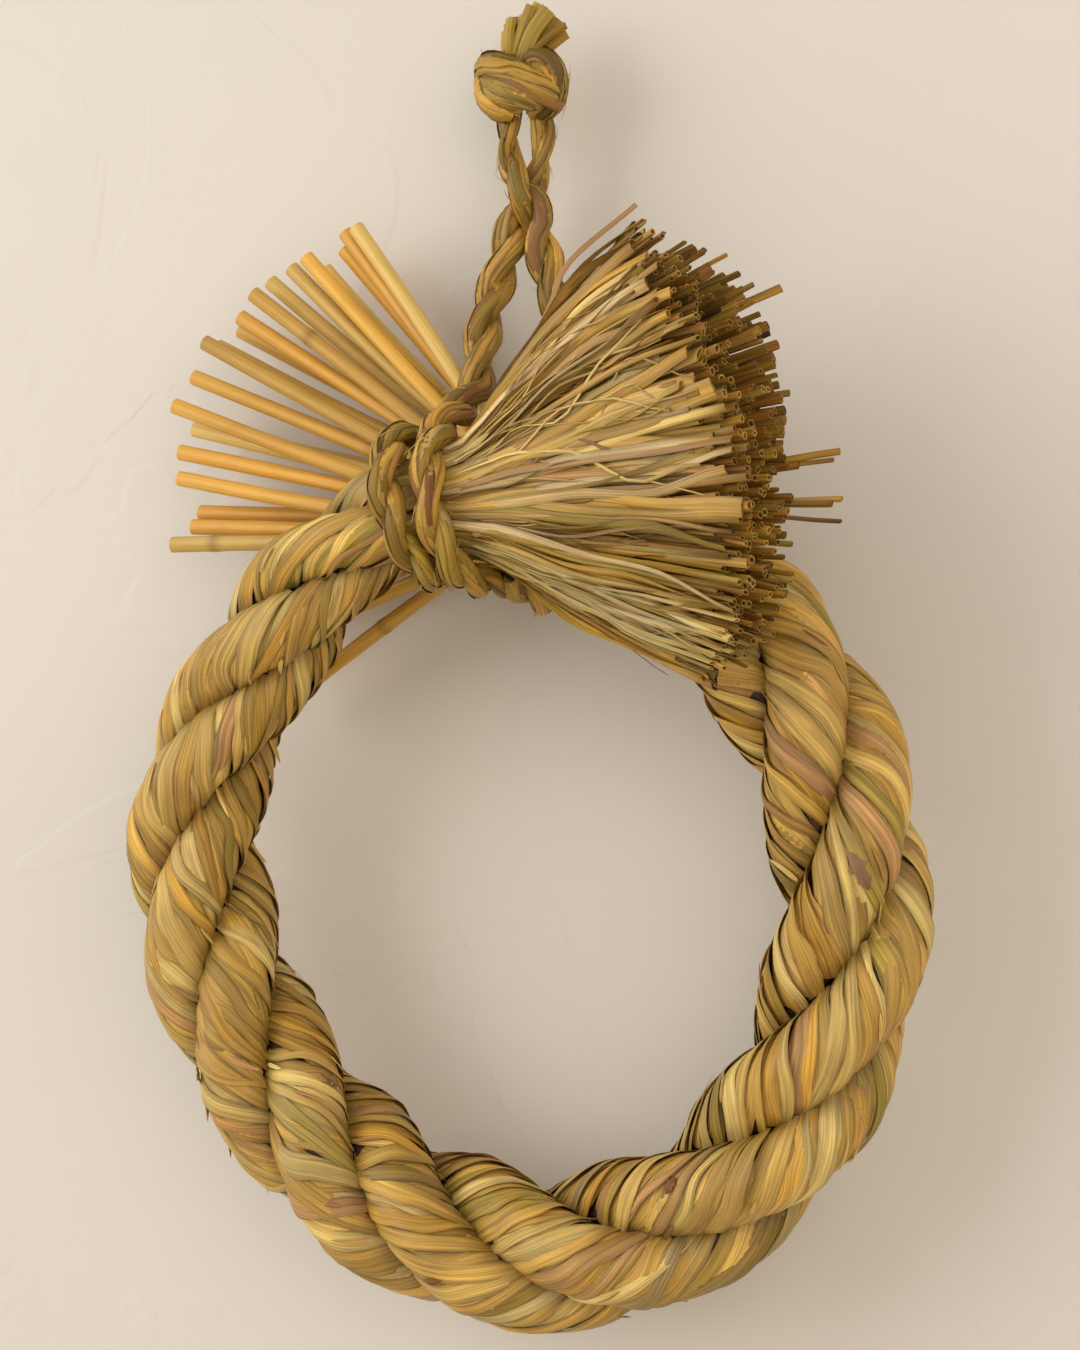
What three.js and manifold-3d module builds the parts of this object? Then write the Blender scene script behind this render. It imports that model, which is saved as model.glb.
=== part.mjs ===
// A wreath of thick straw rope. The rope closes into a ring and its two ends cross at the top left:
// the front end opens to the right as a brush of loose straw, the back end to the left as a fan of
// stiff stems. A thin two-ply straw cord binds the crossing and rises as the hanging loop, which
// ends in a knot. Everything is placed about the ring's centre: X right, Y towards the wall, Z up.
// The finished group is then moved so that its origin is the eye under the knot.
import * as THREE from 'three';
import { mergeVertices } from 'three/addons/utils/BufferGeometryUtils.js';
import Module from 'manifold-3d';

const wasm = await Module();
wasm.setup();

// Driving dimensions, in millimetres and degrees
const gap = 0.3;
const ringRadius = 106;
const ropeNeckReach = 15.5;
const ropeShoulderReach = 19.5;
const ropeLeftReach = 22.8;
const ropeBottomReach = 24;
const ropeRightReach = 22.6;
const neckForward = 20;
const neckBack = 13;
const cordRadius = 4.8;
const legRadius = 5.4;
const cordPitch = 34;
const stemRootRadius = 2.2;
const stemTipRadius = 2.6;
const stemLength = 120;
const brushLength = 101;
const eyeWidth = 4.8;

// The rope ring runs by angle, from its front end, down the left and round to its back end
const frontEnd = 91.7;
const backEnd = 454.6;
const frontLift = 8.5;
const frontLiftFrom = 150;
const straightFrom = 430;
const strandCount = 3;
const ropeStations = 74;
const twistAtBottom = 82.8;
const twistPerDegree = 4.83;
const twistEasing = 0.00185;

const { degToRad, smoothstep, lerp } = THREE.MathUtils;
const front = new THREE.Vector3(0, -1, 0);
const vec = (x, y, z) => new THREE.Vector3(x, y, z);
const bearing = (angle) => vec(Math.cos(degToRad(angle)), 0, Math.sin(degToRad(angle)));

// A fixed, repeatable scatter between -1 and 1 for what grew or was cut by hand
const scatter = (seed) => {
  const wave = Math.sin(seed * 12.9898 + 4.1) * 43758.5453;
  return 2 * (wave - Math.floor(wave)) - 1;
};

// Closed solids from rings of points

// A body from a row of rings, each with as many points. Its quads split along their shorter
// diagonal, but the first and last column split as mirror images, so that twisted neighbours fit.
function loft(rings, closedPath = false) {
  const sides = rings[0].length;
  const points = rings.flat();
  const faces = [];
  const bands = closedPath ? rings.length : rings.length - 1;
  for (let i = 0; i < bands; i += 1) {
    const a = i * sides;
    const b = ((i + 1) % rings.length) * sides;
    for (let j = 0; j < sides; j += 1) {
      const k = (j + 1) % sides;
      const shorter = points[a + j].distanceTo(points[b + k]) < points[a + k].distanceTo(points[b + j]);
      if (j === 0 || (shorter && j < sides - 1)) {
        faces.push(a + j, b + k, b + j, a + j, a + k, b + k);
      } else {
        faces.push(a + j, a + k, b + j, a + k, b + k, b + j);
      }
    }
  }
  if (!closedPath) {
    const last = (rings.length - 1) * sides;
    points.push(centroid(rings[0]), centroid(rings[rings.length - 1]));
    for (let j = 0; j < sides; j += 1) {
      const k = (j + 1) % sides;
      faces.push(points.length - 2, k, j, points.length - 1, last + j, last + k);
    }
  }
  return solidGeometry(points, faces);
}

// Lays a flat section about a centre, turned in the plane of two axes
function placed(section, centre, axisA, axisB, turn) {
  return section.map(([a, b]) => centre.clone()
    .addScaledVector(axisA, a * Math.cos(turn) - b * Math.sin(turn))
    .addScaledVector(axisB, a * Math.sin(turn) + b * Math.cos(turn)));
}

function centroid(ring) {
  const middle = vec(0, 0, 0);
  ring.forEach((point) => middle.add(point));
  return middle.divideScalar(ring.length);
}

function solidGeometry(points, faces) {
  const geometry = new THREE.BufferGeometry();
  geometry.setAttribute('position', new THREE.Float32BufferAttribute(points.flatMap((p) => p.toArray()), 3));
  geometry.setIndex(faces);
  if (signedVolume(geometry) < 0) {
    geometry.index.array.reverse();
  }
  geometry.computeVertexNormals();
  return geometry;
}

function signedVolume(geometry) {
  const corners = geometry.index.array;
  const corner = (i) => vec(0, 0, 0).fromBufferAttribute(geometry.attributes.position, corners[i]);
  let volume = 0;
  for (let i = 0; i < corners.length; i += 3) {
    volume += corner(i).dot(corner(i + 1).cross(corner(i + 2))) / 6;
  }
  return volume;
}

function toManifold(geometry) {
  const bare = geometry.clone();
  bare.deleteAttribute('normal');
  const merged = mergeVertices(bare, 1e-4);
  const mesh = new wasm.Mesh({
    numProp: 3,
    vertProperties: new Float32Array(merged.attributes.position.array),
    triVerts: new Uint32Array(merged.index.array),
  });
  return new wasm.Manifold(mesh);
}

function fuse(geometries) {
  const whole = geometries.map(toManifold).reduce((sum, next) => sum.add(next));
  const mesh = whole.getMesh();
  const geometry = new THREE.BufferGeometry();
  geometry.setAttribute('position', new THREE.Float32BufferAttribute(mesh.vertProperties, 3));
  geometry.setIndex([...mesh.triVerts]);
  geometry.computeVertexNormals();
  return geometry;
}

// The rope

// Sizes that change along the rope pass smoothly through [angle, value] pairs
function along(pairs, angle) {
  const next = pairs.findIndex((pair) => angle < pair[0]);
  if (next === 0) return pairs[0][1];
  if (next < 0) return pairs[pairs.length - 1][1];
  const [from, to] = [pairs[next - 1], pairs[next]];
  return lerp(from[1], to[1], smoothstep(angle, from[0], to[0]));
}

const ropeReach = (angle) => along([
  [104, ropeNeckReach], [140, ropeShoulderReach], [205, ropeLeftReach], [245, ropeBottomReach],
  [310, ropeRightReach], [405, ropeRightReach], [446, ropeNeckReach]], angle);

const ropeDepth = (angle) => along([
  [95, -neckForward], [155, 0], [405, 0], [450, neckBack]], angle);

// The hand-made ring is a little out of round, by these millimetres
const outOfRound = (angle) => along([
  [130, 2], [162, 4.5], [215, -4], [285, 3.3], [350, -1.5], [425, 0]], angle);

function ropeCentre(angle) {
  const lift = frontLift * (1 - smoothstep(angle, 90, frontLiftFrom));
  const straight = Math.cos(degToRad(Math.max(0, angle - straightFrom)));
  const point = bearing(angle).multiplyScalar((ringRadius + outOfRound(angle)) / straight + lift);
  point.y = ropeDepth(angle);
  return point;
}

// The hand-laid twist lags behind an even one by these degrees
const twistSlip = (angle) => along([
  [115, 0], [140, -6], [160, -19], [184, -23], [206, -21], [230, -32], [252, -29], [290, -28],
  [315, -33], [345, -29], [368, -28], [382, -22], [396, -15], [430, 0]], angle);

const ropeTwist = (angle) => {
  const past = angle - 270;
  return twistAtBottom + twistPerDegree * past - twistEasing * past * past + twistSlip(angle);
};

// Axes across the rope at one angle: to the front, and out from the ring
function ropeAxes(angle) {
  const step = 0.5;
  const heading = ropeCentre(angle + step).sub(ropeCentre(angle - step)).normalize();
  const outward = heading.clone().cross(front).normalize();
  return { heading, outward, forward: outward.clone().cross(heading) };
}

// One strand's section is a round lobe on a wedge, whose sides lie half a gap off its neighbours
const lobeCentre = 0.43;
const lobeRadius = 0.57;
const lobeSteps = 6;

function strandSection(reach, halfWedge) {
  const widest = halfWedge + Math.asin((Math.sin(halfWedge) * lobeCentre) / lobeRadius);
  const inset = gap / 2 / Math.sin(halfWedge);
  const section = [[inset, 0]];
  for (let j = 0; j <= lobeSteps; j += 1) {
    const turn = lerp(-widest, widest, j / lobeSteps);
    const outX = reach * (lobeCentre + lobeRadius * Math.cos(turn));
    section.push([inset + outX, reach * lobeRadius * Math.sin(turn)]);
  }
  return section;
}

function ropeStrand(strand) {
  const rings = [];
  for (let i = 0; i <= ropeStations; i += 1) {
    const angle = lerp(frontEnd, backEnd, i / ropeStations);
    const { outward, forward } = ropeAxes(angle);
    const turn = degToRad(ropeTwist(angle) + (360 / strandCount) * strand);
    const section = strandSection(ropeReach(angle), Math.PI / strandCount);
    rings.push(placed(section, ropeCentre(angle), forward, outward, turn));
  }
  return loft(rings);
}

// Two-ply cord

// Its section is two round plies side by side, turned along the way
const plyCentre = 0.4;
const plyRadius = 0.6;
const plySteps = 4;

function cordSection(radius) {
  const widest = Math.acos(-plyCentre / plyRadius);
  const section = [];
  for (const side of [1, -1]) {
    for (let j = 0; j < plySteps; j += 1) {
      const turn = lerp(-widest, widest, j / plySteps);
      section.push([
        side * radius * (plyCentre + plyRadius * Math.cos(turn)),
        side * radius * plyRadius * Math.sin(turn),
      ]);
    }
  }
  return section;
}

// Sweeps the cord along points, without any turning of its frame but the twist
function cord(points, radiusAt, { closed = false, spacing = 4.8 } = {}) {
  const path = new THREE.CatmullRomCurve3(points, closed, 'centripetal');
  const length = path.getLength();
  const steps = Math.round(length / spacing);
  const frames = path.computeFrenetFrames(steps, closed);
  const halfTurns = (2 * length) / cordPitch;
  const twist = Math.PI * (closed ? Math.round(halfTurns) : halfTurns);
  const rings = [];
  for (let i = 0; i < steps + (closed ? 0 : 1); i += 1) {
    const share = i / steps;
    const section = cordSection(radiusAt(share));
    const centre = path.getPointAt(share);
    rings.push(placed(section, centre, frames.normals[i], frames.binormals[i], twist * share));
  }
  return loft(rings, closed);
}

// The binding: one turn of cord round the front rope end alone
const cordOffset = ropeNeckReach + gap + cordRadius + 0.8;
const bindingAngle = 100.4;

function bindingCord() {
  const centre = ropeCentre(bindingAngle);
  const { forward, outward } = ropeAxes(bindingAngle);
  const turns = 12;
  const points = [];
  for (let i = 0; i < turns; i += 1) {
    const turn = (2 * Math.PI * i) / turns;
    points.push(centre.clone()
      .addScaledVector(forward, cordOffset * Math.cos(turn))
      .addScaledVector(outward, cordOffset * Math.sin(turn)));
  }
  return cord(points, () => cordRadius, { closed: true });
}

// Places of the cord and the brush are measured from the rope's middle line at the top of the ring
const atTop = (x, y, z) => vec(x, y, ringRadius + z);

// The hanging cord: its left side starts behind the crossing, passes under and in front of both rope
// ends and rises; its right side starts under the back rope end, passes behind it and rises. Both
// meet in a V, wrap half round each other, part for the eye and go into the knot.
const vee = atTop(-3.6, 18, 94);
const eye = atTop(-4.2, 20, 125.5);
const knot = atTop(-4.9, 18, 140);
const pairOffset = 4.3;
const eyeSideRadius = 3.3;
const eyeHalfHeight = 3.2;

const eyeOffset = eyeWidth / 2 + eyeSideRadius;

function pairPoints(side) {
  return [
    vec(vee.x + side * pairOffset, vee.y, vee.z),
    vec(vee.x + side * pairOffset * 0.8, vee.y - side * pairOffset * 0.6, vee.z + 7),
    vec(vee.x, vee.y - side * pairOffset, vee.z + 14),
    vec(vee.x - side * pairOffset * 0.9, vee.y - side * pairOffset * 0.5, vee.z + 21),
    vec(eye.x - side * eyeOffset, eye.y, eye.z - eyeHalfHeight),
    vec(eye.x - side * eyeOffset, eye.y, eye.z + eyeHalfHeight * 0.5),
    vec(knot.x - side * 3, knot.y, knot.z),
  ];
}

const leftPoints = [
  atTop(1, 24, 30), atTop(0.5, 32, 22), atTop(0, 35.2, 10), atTop(-0.5, 32, -3.5), atTop(-1.5, 21, -12.5),
  atTop(-2.5, 4, -13.5), atTop(-3.5, -12, -14), atTop(-4.5, -28, -13), atTop(-6.5, -38.5, -5),
  atTop(-9, -42, 8), atTop(-11, -38, 21), atTop(-12.5, -26, 30.5), atTop(-13, -11, 37.5),
  atTop(-12.4, 0, 45), atTop(-13, 5, 57), atTop(-12.2, 11, 72), atTop(-9.8, 15, 84),
];
const rightPoints = [
  atTop(4.5, -3, -16), atTop(5.5, 8, -18.5), atTop(7, 20, -17.5), atTop(9.5, 30.5, -9), atTop(12, 34, 4),
  atTop(15, 32, 18), atTop(18, 22, 31), atTop(18.5, 12, 43), atTop(14, 12, 59), atTop(7.3, 14, 75.5),
];

// The cord is fuller in the legs, and draws in to the squeezed stretch beside the eye
const sizeAlong = (legFrom, legTo, end) => (share) => along([
  [legFrom, cordRadius], [legTo, legRadius], [end - 0.1, legRadius], [end, eyeSideRadius]], share);

// The knot is three arches of a trefoil, and the cut straw ends stand out of its top
const knotHalfWidth = 11.5;
const knotHalfHeight = 9;
const knotHalfDepth = 5.2;
const knotCord = 6;

function knotArch(from) {
  const points = [];
  const steps = 10;
  for (let i = 0; i <= steps; i += 1) {
    const turn = degToRad(from + (150 * i) / steps);
    points.push(vec(
      knot.x + (knotHalfWidth * (Math.sin(turn) + 2 * Math.sin(2 * turn))) / 3,
      knot.y - knotHalfDepth * Math.sin(3 * turn),
      knot.z + (knotHalfHeight * (2 * Math.cos(2 * turn) - Math.cos(turn))) / 3,
    ));
  }
  return cord(points, () => knotCord, { spacing: 5 });
}

// The arches close on a packed middle
function knotHeart() {
  const heart = new THREE.SphereGeometry(1, 10, 6);
  heart.deleteAttribute('uv');
  heart.scale(knotHalfWidth * 0.8, knotHalfDepth + 1, knotHalfHeight);
  return heart.translate(knot.x, knot.y, knot.z);
}

function prism(from, to, radiusFrom, radiusTo, sides, flatness = 1) {
  const heading = to.clone().sub(from).normalize();
  const across = heading.clone().cross(front).normalize();
  const deep = across.clone().cross(heading);
  const rings = [[from, radiusFrom], [to, radiusTo]].map(([centre, radius]) => {
    const ring = [];
    for (let j = 0; j < sides; j += 1) {
      const turn = (2 * Math.PI * (j + 0.5)) / sides;
      ring.push(centre.clone()
        .addScaledVector(across, radius * Math.cos(turn))
        .addScaledVector(deep, radius * flatness * Math.sin(turn)));
    }
    return ring;
  });
  return loft(rings);
}

const tailCount = 8;
const tailLength = 20;

function tailStraw(i) {
  const lean = lerp(98, 40, i / (tailCount - 1));
  const from = vec(knot.x - 3 + i, knot.y + 2 * scatter(i), knot.z + 3);
  const reach = tailLength * (1 + 0.12 * scatter(i + 40));
  const to = from.clone().addScaledVector(bearing(lean), reach);
  to.y += 4 * scatter(i + 20);
  return prism(from, to, 1.9, 2.6, 5, 0.7);
}

function hangingCord() {
  const pieces = [
    cord([...leftPoints, ...pairPoints(-1)], sizeAlong(0.5, 0.6, 0.93)),
    cord([...rightPoints, ...pairPoints(1)], sizeAlong(0.35, 0.5, 0.9)),
    knotArch(15), knotArch(135), knotArch(255), knotHeart(),
  ];
  for (let i = 0; i < tailCount; i += 1) {
    pieces.push(tailStraw(i));
  }
  return fuse(pieces);
}

// The fan: layers of straight stems that spread from the back rope end, the rear ones lowest
const fanLayers = [
  { from: 126, to: 178, stems: 7, root: 9, tip: 15 },
  { from: 129, to: 187, stems: 7, root: 14.2, tip: 19.4 },
  { from: 132, to: 200, stems: 7, root: 19.4, tip: 23.9 },
  { from: 137, to: 213, stems: 6, root: 24.6, tip: 29.4 },
];
const stemSpacing = 5.1;

// Shares of the longest stem by angle
const stemShare = (angle) => along([[126, 0.77], [161, 1], [173, 0.93], [190, 0.71], [213, 0.72]], angle);

const stemReach = (angle, seed) => stemLength * (stemShare(angle) + 0.03 * scatter(seed));

function fanStem(layer, i, seed) {
  const angle = lerp(layer.from, layer.to, i / (layer.stems - 1));
  const { heading, outward } = ropeAxes(backEnd);
  const height = stemSpacing * ((layer.stems - 1) / 2 - i);
  const from = ropeCentre(backEnd).addScaledVector(heading, gap + stemRootRadius)
    .addScaledVector(outward, height);
  from.y = layer.root;
  const to = from.clone().addScaledVector(bearing(angle), stemReach(angle, seed));
  to.y = layer.tip;
  return prism(from, to, stemRootRadius, stemTipRadius, 6);
}

// The brush: straws fan out of the front rope end to a rounded, jagged face of cut ends
const brushRidges = 30;
const brushStations = 7;
const brushRise = 9.5;
const brushSpreadUp = 42.5;
const brushSpreadDown = 40;
const brushArch = 1.16;
const brushLean = 16;
const brushFrontSpread = 12;
const brushBackSpread = 22;
const throatReach = ropeNeckReach - 0.5;
const brushSource = atTop(-4, -neckForward, 6);

// The hand-cut face is uneven: shares of the brush's length, where 0 is in front and 90 is on top
const brushCut = (around) => along([
  [0, 1.09], [45, 1.03], [80, 1], [105, 1], [135, 1.08], [160, 0.97], [185, 0.95], [210, 1],
  [240, 1.05], [270, 1.06], [320, 1.09], [360, 1.09]], around % 360);

const brushSpread = (lift) => (lift > 0 ? brushSpreadUp : brushSpreadDown) * lift;

// Where the straw at one place round the bundle ends
function brushEnd(around, width, length) {
  const lift = Math.sin(degToRad(around)) * width;
  const side = Math.cos(degToRad(around)) * width;
  const rise = brushRise + brushSpread(lift);
  const depthSpread = side > 0 ? brushFrontSpread : brushBackSpread;
  const lean = degToRad(brushLean - 4.5 * lift + (depthSpread + 7 * lift) * side);
  const reach = length * lerp(1, brushCut(around), width);
  return brushSource.clone()
    .addScaledVector(bearing(rise), reach * Math.cos(lean))
    .addScaledVector(front, reach * Math.sin(lean));
}

function brushPoint(around, width, share, length) {
  const { heading, outward, forward } = ropeAxes(frontEnd);
  const turn = degToRad(around);
  const start = ropeCentre(frontEnd).addScaledVector(heading, -gap)
    .addScaledVector(forward, throatReach * width * Math.cos(turn))
    .addScaledVector(outward, throatReach * width * Math.sin(turn));
  const lift = width * Math.sin(turn);
  const rise = brushRise + brushSpread(lift) * (lift > 0 ? brushArch : 1);
  const bend = start.clone().addScaledVector(bearing(rise), length * 0.45);
  const end = brushEnd(around, width, length);
  bend.y = lerp(start.y, end.y, 0.42);
  return new THREE.QuadraticBezierCurve3(start, bend, end).getPoint(share);
}

function brushBody() {
  const columns = 2 * brushRidges;
  const column = (j, width, share, cut) => {
    const ridge = j % 2 === 0;
    const full = ridge ? 1 - 0.05 * Math.abs(scatter(j)) : lerp(0.99, 0.84, Math.min(1, share * 2.5));
    const trim = cut + (ridge ? 0.035 * scatter(j + 7) : -0.045);
    return brushPoint((360 * j) / columns, width * full, share, brushLength * trim);
  };
  const places = Array.from({ length: columns }, (_, j) => j);
  const ring = (width, share, cut) => places.map((j) => column(j, width, share, cut));
  const rings = [];
  for (let i = 0; i <= brushStations; i += 1) {
    rings.push(ring(1, i / brushStations, 0.97));
  }
  rings.push(ring(0.72, 1, 0.93), ring(0.4, 1, 0.96));
  return loft(rings);
}

// Straws that stand out of the cut face, and one long stray at the top
const proudStraws = 20;
const strayTip = atTop(50, -30, 91);

function proudStraw(k) {
  const around = k * 137.5;
  const width = 0.3 + 0.65 * Math.sqrt((k + 0.5) / proudStraws);
  const length = brushLength * (1.02 + 0.05 * scatter(k + 60));
  const from = brushPoint(around, 0.75 * width, 0.7, length);
  return prism(from, brushPoint(around, width, 1, length), 1.3, 1.7, 4, 0.7);
}

function straw(points, radius) {
  const rings = points.map((centre, i) => {
    const before = points[Math.max(0, i - 1)];
    const after = points[Math.min(points.length - 1, i + 1)];
    const across = after.clone().sub(before).normalize().cross(front).normalize();
    return [
      centre.clone().addScaledVector(across, radius),
      centre.clone().addScaledVector(front, radius),
      centre.clone().addScaledVector(across, -radius),
      centre.clone().addScaledVector(front, -radius),
    ];
  });
  return loft(rings);
}

function brush() {
  const pieces = [brushBody()];
  for (let k = 0; k < proudStraws; k += 1) {
    pieces.push(proudStraw(k));
  }
  const root = brushPoint(84, 0.6, 0.35, brushLength);
  const knee = brushPoint(86, 1.04, 0.75, brushLength);
  pieces.push(straw([root, knee, strayTip], 1));
  return fuse(pieces);
}

// The finished part
const wreath = new THREE.Group();

function add(name, geometry, color, roughness = 0.75) {
  const mesh = new THREE.Mesh(geometry, new THREE.MeshStandardMaterial({ color, roughness, metalness: 0 }));
  mesh.name = name;
  wreath.add(mesh);
}

const strandColors = [0xb8975a, 0xc2a266, 0xad8c50];
for (let strand = 0; strand < strandCount; strand += 1) {
  add(`rope_strand_${strand + 1}`, ropeStrand(strand), strandColors[strand]);
}
add('binding_cord', bindingCord(), 0xb7995c);
add('hanging_cord', hangingCord(), 0xa88f52);
add('straw_brush', brush(), 0xcfb488);
let stemNumber = 0;
for (const layer of fanLayers) {
  for (let i = 0; i < layer.stems; i += 1) {
    stemNumber += 1;
    add(`fan_stem_${String(stemNumber).padStart(2, '0')}`, fanStem(layer, i, stemNumber), 0xd2ab62, 0.5);
  }
}
wreath.position.copy(eye).negate();

export default wreath;
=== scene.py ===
# The looks of a wreath of twisted straw rope. Every straw that shows is a closed strip of its own,
# laid over the strands, the cords and the brush, with its own tint and the direction of its fibres.
import bpy
import numpy as np
from math import pi, radians
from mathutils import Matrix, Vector


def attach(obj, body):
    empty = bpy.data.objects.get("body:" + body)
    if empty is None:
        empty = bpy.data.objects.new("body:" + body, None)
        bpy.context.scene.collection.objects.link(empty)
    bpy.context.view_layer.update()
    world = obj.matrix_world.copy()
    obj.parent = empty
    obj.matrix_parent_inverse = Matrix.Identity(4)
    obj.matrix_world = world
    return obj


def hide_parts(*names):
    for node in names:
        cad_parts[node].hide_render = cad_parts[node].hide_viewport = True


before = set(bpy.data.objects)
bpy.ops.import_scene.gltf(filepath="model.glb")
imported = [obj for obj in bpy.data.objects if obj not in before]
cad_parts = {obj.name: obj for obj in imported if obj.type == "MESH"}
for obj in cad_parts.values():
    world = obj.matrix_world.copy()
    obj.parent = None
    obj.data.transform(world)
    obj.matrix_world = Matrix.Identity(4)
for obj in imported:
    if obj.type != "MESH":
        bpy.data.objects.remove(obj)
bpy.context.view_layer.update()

# Sizes are millimetres about the ring's centre, as on the real wreath, and MM turns them into metres
MM = 0.001
RING_RADIUS = 106
NECK_REACH = 15.5
NECK_FORWARD = 20
CORD_RADIUS = 4.8
LEG_RADIUS = 5.4
CORD_PITCH = 34
BRUSH_LENGTH = 101
GAP = 0.3

# Places along the rope are degrees round the ring, from 0 at the right over the top
FRONT_END = 91.7
BACK_END = 454.6
ROPE_STRANDS = 3
LOBE_CENTRE = 0.43
LOBE_RADIUS = 0.57
NECK_LIFT = 8.5
STRAIGHT_FROM = 430
BOTTOM = 270
TWIST_AT_BOTTOM = 82.8
TWIST_PER_DEGREE = 4.83
TWIST_EASING = 0.00185
ROPE_REACH = [(104, 15.5), (140, 19.5), (205, 22.8), (245, 24), (310, 22.6), (405, 22.6), (446, 15.5)]
ROPE_DEPTH = [(95, -NECK_FORWARD), (155, 0), (405, 0), (450, 13)]
OUT_OF_ROUND = [(130, 2), (162, 4.5), (215, -4), (285, 3.3), (350, -1.5), (425, 0)]
TWIST_SLIP = [(115, 0), (140, -6), (160, -19), (184, -23), (206, -21), (230, -32), (252, -29), (290, -28),
              (315, -33), (345, -29), (368, -28), (382, -22), (396, -15), (430, 0)]

FRONT = np.array([0.0, -1.0, 0.0])


def at_top(x, y, z):
    """A place measured from the rope's middle line at the top of the ring."""
    return np.array([x, y, RING_RADIUS + z], float)


EYE = at_top(-4.2, 20, 125.5)
VEE = at_top(-3.6, 18, 94)
KNOT = at_top(-4.9, 18, 140)

# Straw colours as the eye sees them
PALE = (0.87, 0.76, 0.45)
STRAW = (0.79, 0.63, 0.29)
GOLD = (0.80, 0.61, 0.23)
GREEN = (0.69, 0.59, 0.24)
OLIVE = (0.53, 0.43, 0.15)
PINK = (0.75, 0.57, 0.35)
GREY = (0.71, 0.63, 0.43)
BROWN = (0.50, 0.32, 0.15)
# DARK is painted shade where the cores show it in the gaps between the wraps; the brush also takes it for a
# few straws
DARK = (0.17, 0.10, 0.04)


def linear(colour):
    """A colour as the eye sees it, as the light it stands for."""
    colour = np.asarray(colour, float)
    return np.where(colour <= 0.04045, colour / 12.92, ((colour + 0.055) / 1.055) ** 2.4)


def unit(vectors):
    return vectors / np.maximum(np.linalg.norm(vectors, axis=-1, keepdims=True), 1e-9)


def smoothstep(at, start, end):
    x = np.clip((at - start) / (end - start), 0, 1)
    return x * x * (3 - 2 * x)


def along(pairs, at):
    """Passes smoothly through (place, value) pairs."""
    places, values = np.array(pairs, float).T
    at = np.asarray(at, float)
    i = np.clip(np.searchsorted(places, at, side="right") - 1, 0, len(places) - 2)
    x = np.clip((at - places[i]) / (places[i + 1] - places[i]), 0, 1)
    return values[i] + (values[i + 1] - values[i]) * x * x * (3 - 2 * x)


def bearing(degrees):
    turn = np.radians(degrees)
    return np.stack([np.cos(turn), 0 * turn, np.sin(turn)], axis=-1)


def wander(rng, steps, size, knots=5):
    """A smooth random wave of a given size."""
    return along(list(enumerate(rng.normal(0, size, knots))), np.linspace(0, knots - 1, steps))


def mixed(rng, palette, spread=0.06):
    """One straw's colour: a pick from a palette of (colour, weight), a little off its neighbours."""
    weights = np.array([weight for _, weight in palette], float)
    first, second = rng.choice(len(palette), 2, p=weights / weights.sum())
    share = rng.uniform(0, 0.5)
    colour = np.array(palette[first][0]) * (1 - share) + np.array(palette[second][0]) * share
    return linear(np.clip(colour * rng.normal(1, spread), 0.02, 0.97))


# Meshes of many straws

# Edges sharper than this many degrees stay crisp
SHARP_FROM = 48

# Neighbouring straws take their grain this far apart, within a span that keeps the noise fine
GRAIN_STEP = 7.31
GRAIN_SPAN = 997


class Straws:
    """Gathers closed strips and tubes of straw into one mesh. Each point keeps its tint, and its
    grain: how far it lies across the straw and along it in millimetres, and the straw's own number."""

    def __init__(self):
        self.points, self.corners, self.sizes, self.tints, self.grains = [], [], [], [], []
        self.count = 0
        self.straws = 0

    def add(self, grid, across, tint):
        """grid holds closed rings of points, stations x around x 3; tint is one colour or one for each."""
        stations, around = grid.shape[:2]
        index = self.count + np.arange(stations * around).reshape(stations, around)
        beside = np.roll(index, -1, axis=1)
        quads = np.stack([index[:-1], beside[:-1], beside[1:], index[1:]], axis=-1)
        self.corners += [quads.ravel(), index[0][::-1], index[-1]]
        self.sizes += [np.full(quads.size // 4, 4), [around, around]]
        self.points.append(grid.reshape(-1, 3))
        steps = np.linalg.norm(np.diff(grid.mean(axis=1), axis=0), axis=-1)
        length = np.concatenate([[0], np.cumsum(steps)])
        grain = np.empty((stations, around, 3))
        grain[..., 0] = across
        grain[..., 1] = length[:, None]
        grain[..., 2] = self.straws * GRAIN_STEP % GRAIN_SPAN
        self.grains.append(grain.reshape(-1, 3))
        self.tints.append(np.broadcast_to(tint, grid.shape).reshape(-1, 3))
        self.count += stations * around
        self.straws += 1

    def piece(self, name, material, slot, *nodes):
        """Makes the mesh, in metres from the eye, and sets it in the frame in place of CAD nodes."""
        points = (np.concatenate(self.points) - EYE) * MM
        corners = np.concatenate(self.corners).astype(np.int32)
        sizes = np.concatenate(self.sizes).astype(np.int32)
        mesh = bpy.data.meshes.new(name)
        mesh.vertices.add(len(points))
        mesh.vertices.foreach_set("co", points.ravel())
        mesh.loops.add(len(corners))
        mesh.loops.foreach_set("vertex_index", corners)
        mesh.polygons.add(len(sizes))
        mesh.polygons.foreach_set("loop_start", np.cumsum(sizes) - sizes)
        mesh.update(calc_edges=True)
        mesh.validate()
        tints = np.concatenate(self.tints)
        tints = np.concatenate([tints, np.ones((len(tints), 1))], axis=1)
        mesh.attributes.new("tint", "FLOAT_COLOR", "POINT").data.foreach_set("color", tints.ravel())
        grains = np.concatenate(self.grains).ravel()
        mesh.attributes.new("grain", "FLOAT_VECTOR", "POINT").data.foreach_set("vector", grains)
        mesh.polygons.foreach_set("use_smooth", np.ones(len(sizes), bool))
        mesh.set_sharp_from_angle(angle=radians(SHARP_FROM))
        mesh.materials.append(material)
        piece = bpy.data.objects.new(name, mesh)
        bpy.context.scene.collection.objects.link(piece)
        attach(piece, "root")
        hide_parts(*nodes)
        return piece


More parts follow.
